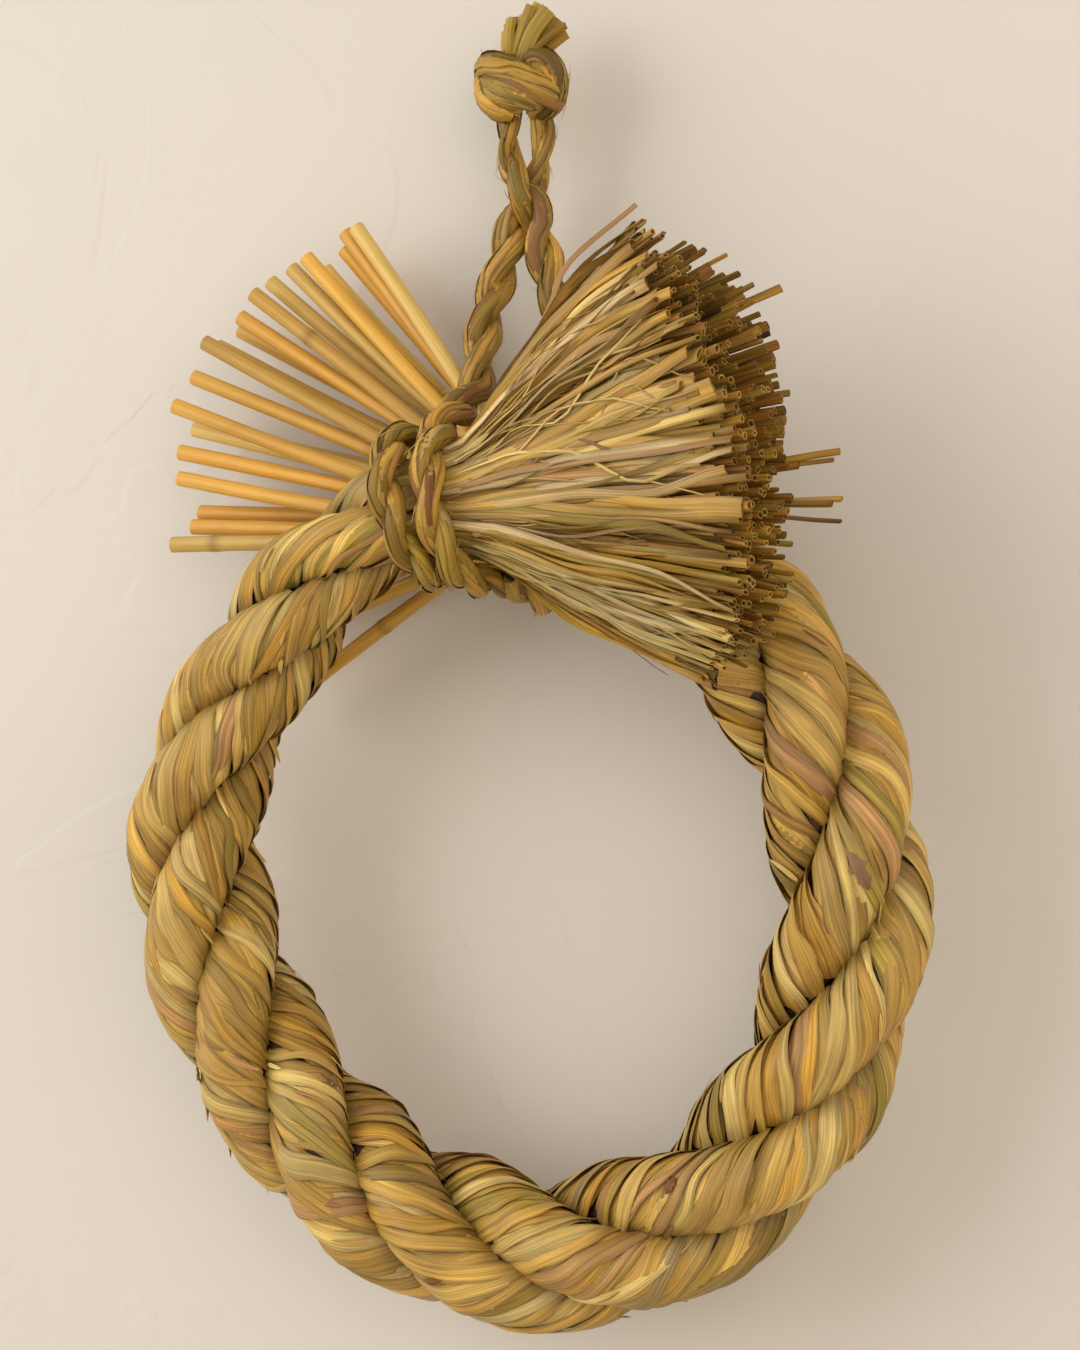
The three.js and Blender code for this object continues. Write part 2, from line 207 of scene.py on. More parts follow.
def hairs(straws, rng, lay, count, longest):
    """Fine torn fibres that stand off the strands, up to the longest height in millimetres."""
    share = np.linspace(0, 1, 6)
    angle = np.arange(4) * pi / 2
    for _ in range(count):
        strand = rng.integers(lay.strands)
        at = rng.uniform(lay.start, lay.last) + rng.choice([-1, 1]) * share * lay.step * rng.uniform(2, 8)
        lift = 0.6 + rng.uniform(0.3, 1) * longest * share ** rng.uniform(1.3, 2.5)
        path, normal = lay.back(strand, at, rng.uniform(-1.9, 1.9) + rng.normal(0, 0.4) * share, lift)
        swept(straws, path, normal, rng.uniform(0.1, 0.2) * (1.2 - share), np.cos(angle), np.sin(angle),
              mixed(rng, [(PALE, 3), (STRAW, 3), (BROWN, 2)]))


def closed_section(columns, thickness, crown):
    """A flat straw's section from edge to edge over the top and back below: (across, height) rows."""
    top = np.linspace(-1, 1, columns)
    below = np.array([0.86, 0, -0.86])
    across = np.concatenate([top, below])
    height = np.concatenate([crown * (1 - top ** 2), crown * (1 - below ** 2) - thickness])
    return across, height


# Strands laid round each other

# How far past the groove a straw is tucked in, round its strand
INTO_GROOVE = radians(5)


class Lay:
    """Strands twisted round each other along a path. It finds points on the round back of a strand."""

    def __init__(self, start, step, centre, axis_a, axis_b, reach, turn, strands, lobe_centre, lobe_radius):
        self.start, self.step = start, step
        self.last = start + step * (len(centre) - 1)
        self.table = np.concatenate([centre, axis_a, axis_b, reach[:, None], turn[:, None]], axis=1)
        self.strands, self.lobe_centre, self.lobe_radius = strands, lobe_centre, lobe_radius
        wedge = pi / strands
        self.groove = wedge + np.arcsin(np.sin(wedge) * lobe_centre / lobe_radius)

    def back(self, strand, at, around, lift=0.0):
        """The point on a strand at a place along the path and an angle round the strand, and its normal."""
        at, around = np.broadcast_arrays(at, around)
        place = np.clip((at - self.start) / self.step, 0, len(self.table) - 1.001)
        i = place.astype(int)
        f = (place - i)[..., None]
        row = self.table[i] * (1 - f) + self.table[i + 1] * f
        axis_a, axis_b = row[..., 3:6], row[..., 6:9]
        turn = row[..., 10:11] + 2 * pi * strand / self.strands
        out = np.cos(turn) * axis_a + np.sin(turn) * axis_b
        side = np.cos(turn) * axis_b - np.sin(turn) * axis_a
        around = around[..., None]
        normal = np.cos(around) * out + np.sin(around) * side
        reach = row[..., 9:10]
        point = row[..., :3] + reach * (self.lobe_centre * out + self.lobe_radius * normal)
        return point + np.asarray(lift)[..., None] * normal, normal

    def core(self, straws, strand, sink, tint, sides=22, spacing=1.5):
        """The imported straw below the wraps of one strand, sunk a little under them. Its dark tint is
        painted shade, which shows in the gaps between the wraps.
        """
        stations = int((self.last - self.start) / (self.step * spacing)) + 2
        at = np.linspace(self.start, self.last, stations)[:, None]
        around = np.linspace(-self.groove, self.groove, sides)[None, :]
        shell, _ = self.back(strand, at, around, -sink)
        axis, _ = self.back(strand, at, np.array([[pi]]))
        middle = self.table[np.clip(((at[:, 0] - self.start) / self.step).astype(int), 0, None), :3]
        axis[:, 0] = middle * 0.8 + axis[:, 0] * 0.2
        grid = np.concatenate([shell, axis], axis=1)
        across = np.concatenate([around[0] * 10, [0]])[None, :]
        straws.add(grid, across, linear(tint))

    def wrap(self, straws, strand, rng, middle, rate, width, height, tint, *, stations=19, columns=8,
             crown=0.3, tilt=0.0, fold=0.0, ridge=0.06, pinch=0.25, thickness=0.3, sink=1.2, wave=0.12,
             drift=0.0, fray=0.07, edge_shade=0.3):
        """One flat straw across a strand's back, from groove to groove. rate is how fast it turns
        round the strand, in radians for each step along the path."""
        limit = self.groove + INTO_GROOVE
        ends = sorted([(self.start - middle) * rate / limit, (self.last - middle) * rate / limit])
        low, high = max(-1, ends[0]), min(1, ends[1])
        if high - low < 0.3:
            return
        share = np.linspace(low, high, stations)
        around = share * limit
        at = middle + around / rate + wander(rng, stations, drift, 4)
        small = 1e-3
        point, normal = self.back(strand, at, around)
        by_at = (self.back(strand, at + small, around)[0] - self.back(strand, at - small, around)[0])
        by_at /= 2 * small
        by_turn = self.back(strand, at, around + small)[0] - self.back(strand, at, around - small)[0]
        by_turn /= 2 * small
        side = unit(np.cross(normal, unit(by_at / rate + by_turn)))
        aa, ab, bb = (by_at ** 2).sum(-1), (by_at * by_turn).sum(-1), (by_turn ** 2).sum(-1)
        sa, sb = (side * by_at).sum(-1), (side * by_turn).sum(-1)
        spread = np.maximum(aa * bb - ab ** 2, 1e-9)
        step_at, step_turn = (sa * bb - sb * ab) / spread, (sb * aa - sa * ab) / spread

        across, profile = closed_section(columns, thickness, crown)
        half = width / 2 * (1 - pinch * np.abs(share) ** 2.2)
        left, right = [(half * (1 + wander(rng, stations, fray, 7)))[:, None] for _ in range(2)]
        reach = np.where(across < 0, left, right) * across
        crease = rng.uniform(-0.5, 0.5)
        relief = profile + tilt * across - fold * np.abs(across - crease)
        ridges = rng.normal(0, ridge, (2, columns))
        ridges = np.concatenate([ridges, np.zeros((2, len(across) - columns))], axis=1)
        blend = np.linspace(0, 1, stations)[:, None]
        lift = height + relief + ridges[0] * (1 - blend) + ridges[1] * blend
        lift = lift + wander(rng, stations, wave)[:, None]
        lift = lift - sink * smoothstep(np.abs(share), 0.72, 1.0)[:, None]
        grid, _ = self.back(strand, at[:, None] + reach * step_at[:, None],
                            around[:, None] + reach * step_turn[:, None], lift)
        tone_and_shade = 1 + wander(rng, stations, 0.07)[:, None, None]
        # Painted shade: each straw is darkened where it runs into the grooves, and along both edges, where
        # the cracks between straws are shaded
        tone_and_shade = tone_and_shade * (1 - 0.35 * smoothstep(np.abs(share), 0.6, 1.0)[:, None, None])
        tone_and_shade = tone_and_shade * (1 - edge_shade * smoothstep(np.abs(across), 0.6, 1.0)[None, :, None])
        straws.add(grid, reach, np.clip(tint * tone_and_shade, 0, 1))


def swept(straws, path, normal, half, across, height, tint, *, roll=0.0, hollow=0.0, edge_shade=0.0):
    """A straw along a path. half is its half width at each station, and height its section's rise.
    A hollow straw ends in an open mouth of that depth."""
    heading = unit(np.gradient(path, axis=0))
    side = unit(np.cross(normal, heading))
    normal = np.cross(heading, side)
    turn = np.broadcast_to(roll, len(path))[:, None]
    side, normal = side * np.cos(turn) + normal * np.sin(turn), normal * np.cos(turn) - side * np.sin(turn)
    half = np.broadcast_to(half, len(path))[:, None]
    reach = half * across[None, :]
    rise = half * height[None, :]
    grid = path[:, None] + reach[..., None] * side[:, None] + rise[..., None] * normal[:, None]
    # Painted shade: the straw's edges are darkened, as the cracks between neighbours would be shaded
    tint = np.asarray(tint)[..., None, :] * (1 - edge_shade * smoothstep(np.abs(across), 0.5, 1.0)[:, None])
    tint = np.broadcast_to(tint, grid.shape)
    if hollow:
        middle = grid[-1].mean(axis=0)
        rim = middle + (grid[-1] - middle) * 0.66
        well = middle + (grid[-1] - middle) * 0.55 - heading[-1] * hollow
        grid = np.concatenate([grid, [rim], [well]])
        reach = np.concatenate([reach, reach[-1:] * 0.66, reach[-1:] * 0.55])
        # Painted shade: the open mouth's rim and its well are darkened, as the inside of the straw would be
        # shaded
        tint = np.concatenate([tint, tint[-1:] * 0.8, tint[-1:] * 0.3])
    straws.add(grid, reach, np.clip(tint, 0, 1))


# The rope

def rope_centre(angle):
    lift = NECK_LIFT * (1 - smoothstep(angle, 90, 150))
    straight = np.cos(np.radians(np.maximum(0, angle - STRAIGHT_FROM)))
    radius = (RING_RADIUS + along(OUT_OF_ROUND, angle)) / straight + lift
    centre = bearing(angle) * radius[..., None]
    centre[..., 1] = along(ROPE_DEPTH, angle)
    return centre


def rope_axes(angle):
    """Heading along the rope, out from the ring, and to the front."""
    heading = unit(rope_centre(angle + 0.5) - rope_centre(angle - 0.5))
    outward = unit(np.cross(heading, FRONT))
    return heading, outward, np.cross(outward, heading)


def rope_lay():
    step = 0.5
    angle = np.arange(FRONT_END, BACK_END + step / 2, step)
    heading, outward, forward = rope_axes(angle)
    past = angle - BOTTOM
    even = TWIST_AT_BOTTOM + TWIST_PER_DEGREE * past - TWIST_EASING * past ** 2
    turn = np.radians(even + along(TWIST_SLIP, angle))
    return Lay(FRONT_END, step, rope_centre(angle), forward, outward, along(ROPE_REACH, angle), turn,
               ROPE_STRANDS, LOBE_CENTRE, LOBE_RADIUS)


# How fast a straw turns round its strand: degrees for each degree along the rope
BAND_RATE = -11.4
BAND_SLACK = 10
SLIVERS = 60

ROPE_PALETTE = [(STRAW, 48), (PALE, 20), (GOLD, 12), (GREEN, 10), (GREY, 2), (PINK, 8), (OLIVE, 1)]

# Scars in the straw: strand, place along the rope, degrees round the strand, length, half width, colour
SCARS = [
    (1, 305.5, -4, 8, 1.6, BROWN), (2, 365, 8, 15, 2.6, (0.58, 0.43, 0.30)),
    (0, 262, 10, 9, 1.1, BROWN), (1, 226, -30, 11, 1.4, (0.60, 0.45, 0.28)), (2, 168, 20, 9, 1.2, BROWN),
]


def surface_strip(straws, rng, lay, strand, at, around, length, half, lift, tint):
    """A short straw along the wraps of one strand. lift is its height at each station."""
    stations = len(lift)
    travel = np.linspace(-0.5, 0.5, stations) * length / 14
    places = around - travel
    point, normal = lay.back(strand, at - travel / radians(BAND_RATE), places, lift)
    across, height = closed_section(6, 0.3, 0.15)
    height = height + rng.normal(0, 0.05, len(across))
    swept(straws, point, normal, half, across, height, tint, roll=wander(rng, stations, 0.15))


def rope_strand(strand, lay, material):
    """Two layers of flat straws round one strand, with slivers, torn ends and scars on top."""
    rng = np.random.default_rng(110 + strand)
    straws = Straws()
    lay.core(straws, strand, 1.3, DARK)
    layers = [
        dict(step=2.7, width=(8, 11), height=(-0.5, 0.1), spread=0.9, tilt=0.4),
        dict(step=3.0, width=(3, 7.5), height=(0.2, 1.0), spread=1.8, tilt=0.5),
    ]
    for layer in layers:
        middle = FRONT_END - BAND_SLACK
        while middle < BACK_END + BAND_SLACK:
            middle += layer["step"] * rng.uniform(0.7, 1.3)
            size = along(ROPE_REACH, middle) / 22.6
            lay.wrap(straws, strand, rng, middle, radians(BAND_RATE + rng.normal(0, layer["spread"])),
                     rng.uniform(*layer["width"]) * size, rng.uniform(*layer["height"]),
                     mixed(rng, ROPE_PALETTE), crown=rng.uniform(0.05, 0.3),
                     tilt=rng.normal(layer["tilt"], 0.15), fold=max(0, rng.normal(0.1, 0.25)), drift=0.35,
                     fray=0.1, edge_shade=0.42)
    for _ in range(SLIVERS):
        torn = rng.uniform(0, 1) < 0.55
        lift = 0.9 + rng.uniform(0.4, 1.8) * np.linspace(0, 1, 9) ** 2 * torn
        taper = np.interp(np.linspace(0, 1, 9), [0, 0.2, 0.7, 1], [0.3, 1, 0.8, 0.2])
        surface_strip(straws, rng, lay, strand, rng.uniform(FRONT_END + 12, BACK_END - 12),
                      radians(rng.uniform(-95, 95)), rng.uniform(6, 16), rng.uniform(0.35, 1.1) * taper,
                      lift, mixed(rng, [(PALE, 4), (STRAW, 4), (PINK, 3), (BROWN, 2)]))
    for scarred, at, around, length, half, colour in SCARS:
        if scarred == strand:
            bump = np.sin(np.linspace(0, pi, 9))
            ragged = bump * (1 + wander(rng, 9, 0.35, 9))
            surface_strip(straws, rng, lay, strand, at, radians(around), length,
                          half * (0.15 + 0.85 * ragged), 0.85 + 0.45 * bump, linear(colour))
    node = f"rope_strand_{strand + 1}"
    straws.piece(f"rope_straw_{strand + 1}", material, "rope_straw", node)


# The two-ply cords

CORD_PLIES = 2
PLY_CENTRE = 0.4
PLY_RADIUS = 0.6


def smooth_path(points, closed=False, spacing=0.8):
    """A centripetal curve through points, stepped evenly, and how far it is along."""
    points = np.array(points, float)
    if closed:
        points = np.concatenate([points[-1:], points, points[:2]])
    else:
        points = np.concatenate([[2 * points[0] - points[1]], points, [2 * points[-1] - points[-2]]])
    parts = []
    for i in range(1, len(points) - 2):
        p0, p1, p2, p3 = points[i - 1:i + 3]
        gaps = [max(np.linalg.norm(b - a) ** 0.5, 1e-4) for a, b in ((p0, p1), (p1, p2), (p2, p3))]
        m1 = ((p1 - p0) / gaps[0] - (p2 - p0) / (gaps[0] + gaps[1]) + (p2 - p1) / gaps[1]) * gaps[1]
        m2 = ((p2 - p1) / gaps[1] - (p3 - p1) / (gaps[1] + gaps[2]) + (p3 - p2) / gaps[2]) * gaps[1]
        t = np.linspace(0, 1, 24, endpoint=False)[:, None]
        parts.append((2 * p1 - 2 * p2 + m1 + m2) * t ** 3 + (-3 * p1 + 3 * p2 - 2 * m1 - m2) * t ** 2
                     + m1 * t + p1)
    curve = np.concatenate(parts + [points[-2:-1]])
    length = np.concatenate([[0], np.cumsum(np.linalg.norm(np.diff(curve, axis=0), axis=1))])
    at = np.linspace(0, length[-1], int(length[-1] / spacing) + 1)
    return np.stack([np.interp(at, length, curve[:, k]) for k in range(3)], axis=1), at


def carried_axes(path):
    """Two axes across a path that never turn about it."""
    heading = unit(np.gradient(path, axis=0))
    normals = [unit(np.cross(heading[0], [0.3, 0.9, 0.2]))]
    for now in heading[1:]:
        last = normals[-1]
        normals.append(unit(last - now * last.dot(now)))
    normals = np.array(normals)
    return normals, np.cross(heading, normals)


def cord_lay(points, radius_at, closed=False):
    path, at = smooth_path(points, closed)
    axis_a, axis_b = carried_axes(path)
    half_turns = 2 * at[-1] / CORD_PITCH
    total = pi * (round(half_turns) if closed else half_turns)
    turn = total * at / at[-1]
    if closed:
        drift = np.arctan2(axis_a[-1].dot(axis_b[0]), axis_a[-1].dot(axis_a[0]))
        turn = turn - drift * at / at[-1]
    radius = np.broadcast_to(radius_at(at / at[-1]), len(at)).astype(float)
    return Lay(0.0, at[1], path, axis_a, axis_b, radius, turn, CORD_PLIES, PLY_CENTRE, PLY_RADIUS)


# The cords' straw has yellowed by these shares of red, green and blue
AGED = (0.93, 0.88, 0.66)
CORD_PALETTE = [(STRAW, 26), (GREEN, 30), (OLIVE, 14), (GOLD, 12), (PINK, 7), (GREY, 5), (BROWN, 4)]

# How fast a straw turns round its ply, in radians for each millimetre of a cord as thick as the legs
CORD_BAND_RATE = -0.2
CORD_SLACK = 9.0
CORD_RISE = 0.3


def cord_straws(straws, rng, lay, radius):
    """Flat straws and hairs on both plies of a cord. They turn faster on a thinner cord."""
    for ply in range(CORD_PLIES):
        lay.core(straws, ply, 0.4, DARK, sides=14, spacing=2)
        for step, width, height in ((3.0, (4.5, 6.5), (-0.3, 0.0)), (4.6, (1.8, 3.8), (0.0, 0.35))):
            middle = -CORD_SLACK
            while middle < lay.last + CORD_SLACK:
                middle += step * rng.uniform(0.75, 1.25)
                lay.wrap(straws, ply, rng, middle, rng.normal(CORD_BAND_RATE, 0.03) * LEG_RADIUS / radius,
                         rng.uniform(*width) * radius / LEG_RADIUS, CORD_RISE + rng.uniform(*height),
                         mixed(rng, CORD_PALETTE) * AGED, stations=13, columns=6, crown=0.15,
                         tilt=rng.normal(0.2, 0.12), fold=max(0, rng.normal(0.05, 0.15)), ridge=0.07,
                         pinch=0.25, thickness=0.25, sink=0.8, wave=0.1, drift=0.5, fray=0.12, edge_shade=0.45)
    hairs(straws, rng, lay, int(lay.last / 3), 2.2)


BINDING_AT = 100.4
BINDING_POINTS = 12
BINDING_OFFSET = NECK_REACH + GAP + CORD_RADIUS + 0.8


def binding(material):
    """The closed turn of cord round the front end of the rope."""
    angle = np.array(BINDING_AT)
    _, outward, forward = rope_axes(angle)
    turns = pi + np.arange(BINDING_POINTS) * 2 * pi / BINDING_POINTS
    points = [rope_centre(angle) + BINDING_OFFSET * (np.cos(turn) * forward + np.sin(turn) * outward)
              for turn in turns]
    rng = np.random.default_rng(210)
    straws = Straws()
    cord_straws(straws, rng, cord_lay(points, lambda share: CORD_RADIUS, closed=True), CORD_RADIUS)
    straws.piece("binding_straw", material, "cord_straw", "binding_cord")


# The twisted pair under the knot, and the eye where its two cords part
PAIR_OFFSET = 4.3
EYE_SIDE_RADIUS = 3.3
EYE_HALF_HEIGHT = 3.2
EYE_WIDTH = 4.8
EYE_OFFSET = EYE_WIDTH / 2 + EYE_SIDE_RADIUS


def pair_points(side):
    """One cord's way through the twisted pair, past the eye and into the knot."""
    return [
        VEE + (side * PAIR_OFFSET, 0, 0),
        VEE + (side * PAIR_OFFSET * 0.8, -side * PAIR_OFFSET * 0.6, 7),
        VEE + (0, -side * PAIR_OFFSET, 14),
        VEE + (-side * PAIR_OFFSET * 0.9, -side * PAIR_OFFSET * 0.5, 21),
        EYE + (-side * EYE_OFFSET, 0, -EYE_HALF_HEIGHT),
        EYE + (-side * EYE_OFFSET, 0, EYE_HALF_HEIGHT * 0.5),
        KNOT + (-side * 3, 0, 0),
    ]


# Both runs of the hanging cord, from the rope's crossing up to the pair, measured from the ring's top
LEFT_POINTS = [
    (1, 24, 30), (0.5, 32, 22), (0, 35.2, 10), (-0.5, 32, -3.5), (-1.5, 21, -12.5), (-2.5, 4, -13.5),
    (-3.5, -12, -14), (-4.5, -28, -13), (-6.5, -38.5, -5), (-9, -42, 8), (-11, -38, 21),
    (-12.5, -26, 30.5), (-13, -11, 37.5), (-12.4, 0, 45), (-13, 5, 57), (-12.2, 11, 72), (-9.8, 15, 84),
]
RIGHT_POINTS = [
    (3.6, -13, -11), (4.5, -3, -16), (5.5, 8, -18.5), (7, 20, -17.5), (9.5, 30.5, -9), (12, 34, 4),
    (15, 32, 18), (18, 22, 31), (18.5, 12, 43), (14, 12, 59), (7.3, 14, 75.5),
]


def size_along(leg_from, leg_to, end):
    """A cord's radius by the share of its way: thin at the wraps, thick at the legs, thinnest by the eye."""
    pairs = [(leg_from, CORD_RADIUS), (leg_to, LEG_RADIUS), (end - 0.1, LEG_RADIUS), (end, EYE_SIDE_RADIUS)]
    return lambda share: along(pairs, share)


# The knot's wraps, from behind to the front, about its middle, each with its thickness
KNOT_WRAPS = [
    (4.6, [(-4, 4, 6.5), (2, 5, 7.5), (7.5, 4, 5), (9, 3.5, 0), (7, 4, -5), (2, 4, -7.5)]),
    (4.8, [(1, 1, 6.5), (6, 0, 6.8), (9.8, -0.5, 3.2), (10.2, -1, -2), (7.6, -1, -6.4), (3.4, 0, -8.2)]),
    (4.8, [(0, 0, 5.5), (-6, 0, 6), (-9.8, -1, 2), (-9, -2, -3), (-5.8, -2.6, -6.6), (-1.5, -1, -8.2)]),
    (4.4, [(-3, -2, 5), (-7, -3, 1.5), (-5.6, -4.6, -2.4), (-1.5, -5, -4.6), (2.6, -3, -6.6)]),
    (4.8, [(-8.5, 3, 3.5), (-9.8, -1, 5.2), (-6, -6, 4.6), (0, -7.2, 1.6), (5.4, -6.4, -2),
           (9.4, -2.5, -4.8), (9.5, 2, -5)]),
    (4.2, [(-9, 0, 3.4), (-6.8, -4.8, 1.4), (-1, -7, -2.2), (4, -6.4, -5), (7.4, -3, -7)]),
]

# As CORD_BAND_RATE, for the knot, whose straws hardly turn
KNOT_BAND_RATE = -0.055
KNOT_SLACK = 62.0


def wrap_straws(straws, rng, points, radius):
    """One wrap of the knot: flat straws side by side, turning a little about their common middle."""
    path, at = smooth_path([KNOT + point for point in points])
    axis_a, axis_b = carried_axes(path)
    size = radius * along([(0, 0.8), (0.2, 1), (0.8, 1), (1, 0.8)], at / at[-1])
    lay = Lay(0.0, at[1], path, axis_a, axis_b, size, np.full(len(at), rng.uniform(0, 6)), 1, 0.0, 1.0)
    lay.core(straws, 0, 0.5, DARK, sides=14, spacing=2)
    for height in (-0.25, 0.15):
        middle = -KNOT_SLACK
        while middle < lay.last + KNOT_SLACK:
            middle += rng.uniform(6, 12)
            lay.wrap(straws, 0, rng, middle, rng.normal(KNOT_BAND_RATE, 0.008), rng.uniform(3, 6.5),
                     height + rng.uniform(-0.1, 0.25), mixed(rng, CORD_PALETTE) * AGED, stations=16,
                     columns=6, crown=0.15, tilt=rng.normal(0.25, 0.15), fold=max(0, rng.normal(0.05, 0.15)),
                     ridge=0.08, pinch=0.1, thickness=0.25, sink=0.4, wave=0.2, drift=1.2, fray=0.15,
                     edge_shade=0.45)
    hairs(straws, rng, lay, 26, 2.5)


TAIL_PALETTE = [(GREEN, 40), (OLIVE, 16), (STRAW, 20), (GOLD, 8)]

# The cut ends above the knot: root and tip about its middle, and half width
TAIL_STRAWS = [
    ((-5, 1, 5), (-5.6, 1, 17.5), 2.4), ((-4, 3, 5), (-4.4, 3, 20), 2.6),
    ((-3, -1, 5), (-3.6, -1, 20.5), 2.6), ((-3, 2, 5), (-1, 2, 21.5), 2.8),
    ((-2, 0, 5), (1.4, 0, 21.5), 2.6), ((-3, -3, 5), (4.6, -3, 23.5), 2.0),
    ((-1, -2, 5), (7.4, -2, 23.8), 2.5), ((0, 3, 5), (5.5, 4, 22.5), 2.4),
    ((1, -3, 5), (10.4, -3.4, 21.6), 2.6), ((1, 1, 5), (11.4, 1, 20), 2.3),
    ((1, -2, 4), (15.4, -2, 17), 1.8), ((2, 2, 4), (14, 2, 15.5), 1.9),
]


def knot_tail(straws, rng):
    """The cut straw ends that stand out of the top of the knot."""
    for root, tip, half in TAIL_STRAWS:
        share = np.linspace(0, 1, 12)[:, None]
        root, tip = KNOT + root, KNOT + tip
        bow = bearing(rng.uniform(60, 150)) * rng.uniform(0.5, 1.6) + FRONT * rng.normal(0, 0.8)
        path = root + (tip - root) * share + bow * np.sin(pi * share)
        across, height = closed_section(8, 0.55, 0.4)
        height = height + rng.normal(0, 0.09, len(across))
        size = half * np.interp(share[:, 0], [0, 0.3, 1], [0.7, 0.9, 1])
        swept(straws, path, np.broadcast_to(FRONT, path.shape), size, across, height,
              mixed(rng, TAIL_PALETTE) * AGED, roll=rng.normal(0, 0.5), hollow=1.5)


def ball(straws, centre, radii, tint):
    """A round heart for the knot, hidden by its wraps but for chinks."""
    turn = np.linspace(0.1, pi - 0.1, 9)[:, None]
    around = np.linspace(0, 2 * pi, 14, endpoint=False)[None, :]
    grid = np.stack([np.sin(turn) * np.cos(around), np.sin(turn) * np.sin(around),
                     np.cos(turn) + 0 * around], axis=-1)
    straws.add(centre + grid * radii, 10 * around, linear(tint))


def hanging_cord(material):
    """Both runs of the hanging cord, and its knot with the cut tail."""
    rng = np.random.default_rng(310)
    straws = Straws()
    left = [at_top(*place) for place in LEFT_POINTS] + pair_points(-1)
    right = [at_top(*place) for place in RIGHT_POINTS] + pair_points(1)
    cord_straws(straws, rng, cord_lay(left, size_along(0.5, 0.6, 0.93)), LEG_RADIUS)
    cord_straws(straws, rng, cord_lay(right, size_along(0.35, 0.5, 0.9)), LEG_RADIUS)
    straws.piece("hanging_straw", material, "cord_straw", "hanging_cord")
    straws = Straws()
    ball(straws, KNOT, (9, 5, 7), OLIVE)
    for radius, points in KNOT_WRAPS:
        wrap_straws(straws, rng, points, radius)
    knot_tail(straws, rng)
    straws.piece("knot_straw", material, "cord_straw", "hanging_cord")


# The brush

THROAT_REACH = NECK_REACH - 0.5
BRUSH_SOURCE = at_top(-4, -NECK_FORWARD, 6)

# Degrees: how the brush points up, spreads up and down from there, and leans and spreads to the front
BRUSH_RISE = 9.5
BRUSH_SPREAD_UP = 42.5
BRUSH_SPREAD_DOWN = 40
BRUSH_LEAN = 16
BRUSH_FRONT_SPREAD = 12
BRUSH_BACK_SPREAD = 22

# Shares: how much more its upper straws arch, and how far along they bend
BRUSH_ARCH = 1.16
BRUSH_BEND = 0.45

# How much longer the brush is cut than its middle, by the degrees round it
BRUSH_CUT = [(0, 1.09), (45, 1.03), (80, 1), (105, 1), (135, 1.08), (160, 0.97), (185, 0.95), (210, 1),
             (240, 1.05), (270, 1.06), (320, 1.09), (360, 1.09)]


def brush_place(around, width, share, length):
    """A place in the brush: around 0 is in front and 90 on top, and share runs from throat to end.
    Below 0 it lies back along the rope's neck, under the cord."""
    around, width, share = np.broadcast_arrays(np.asarray(around, float), width, share)
    heading, outward, forward = rope_axes(np.array(FRONT_END))
    turn = np.radians(around)
    lift, side = np.sin(turn) * width, np.cos(turn) * width
    start = rope_centre(np.array(FRONT_END)) - heading * GAP
    start = start + THROAT_REACH * (side[..., None] * forward + lift[..., None] * outward)
    spread = np.where(lift > 0, BRUSH_SPREAD_UP, BRUSH_SPREAD_DOWN) * lift
    bend = start + bearing(BRUSH_RISE + spread * np.where(lift > 0, BRUSH_ARCH, 1)) * length * BRUSH_BEND
    depth_spread = np.where(side > 0, BRUSH_FRONT_SPREAD, BRUSH_BACK_SPREAD) + 7 * lift
    lean = np.radians(BRUSH_LEAN - 4.5 * lift + depth_spread * side)[..., None]
    reach = (length * (1 + (along(BRUSH_CUT, around % 360) - 1) * width))[..., None]
    end = BRUSH_SOURCE + bearing(BRUSH_RISE + spread) * reach * np.cos(lean) + FRONT * reach * np.sin(lean)
    bend[..., 1] = start[..., 1] + (end[..., 1] - start[..., 1]) * 0.42
    back = np.clip(-share, 0, None)[..., None] * BRUSH_LENGTH
    share = np.clip(share, 0, None)[..., None]
    return start * (1 - share) ** 2 + bend * 2 * share * (1 - share) + end * share ** 2 + heading * back


BRUSH_PALETTE = [(PALE, 36), (STRAW, 22), (GOLD, 14), (PINK, 20), (GREY, 8), (GREEN, 10), (OLIVE, 3),
                 ((0.84, 0.74, 0.55), 16)]
END_PALETTE = [((0.56, 0.43, 0.11), 30), ((0.60, 0.40, 0.13), 26), (GOLD, 20), (GREEN, 10), (STRAW, 6),
               (DARK, 2)]


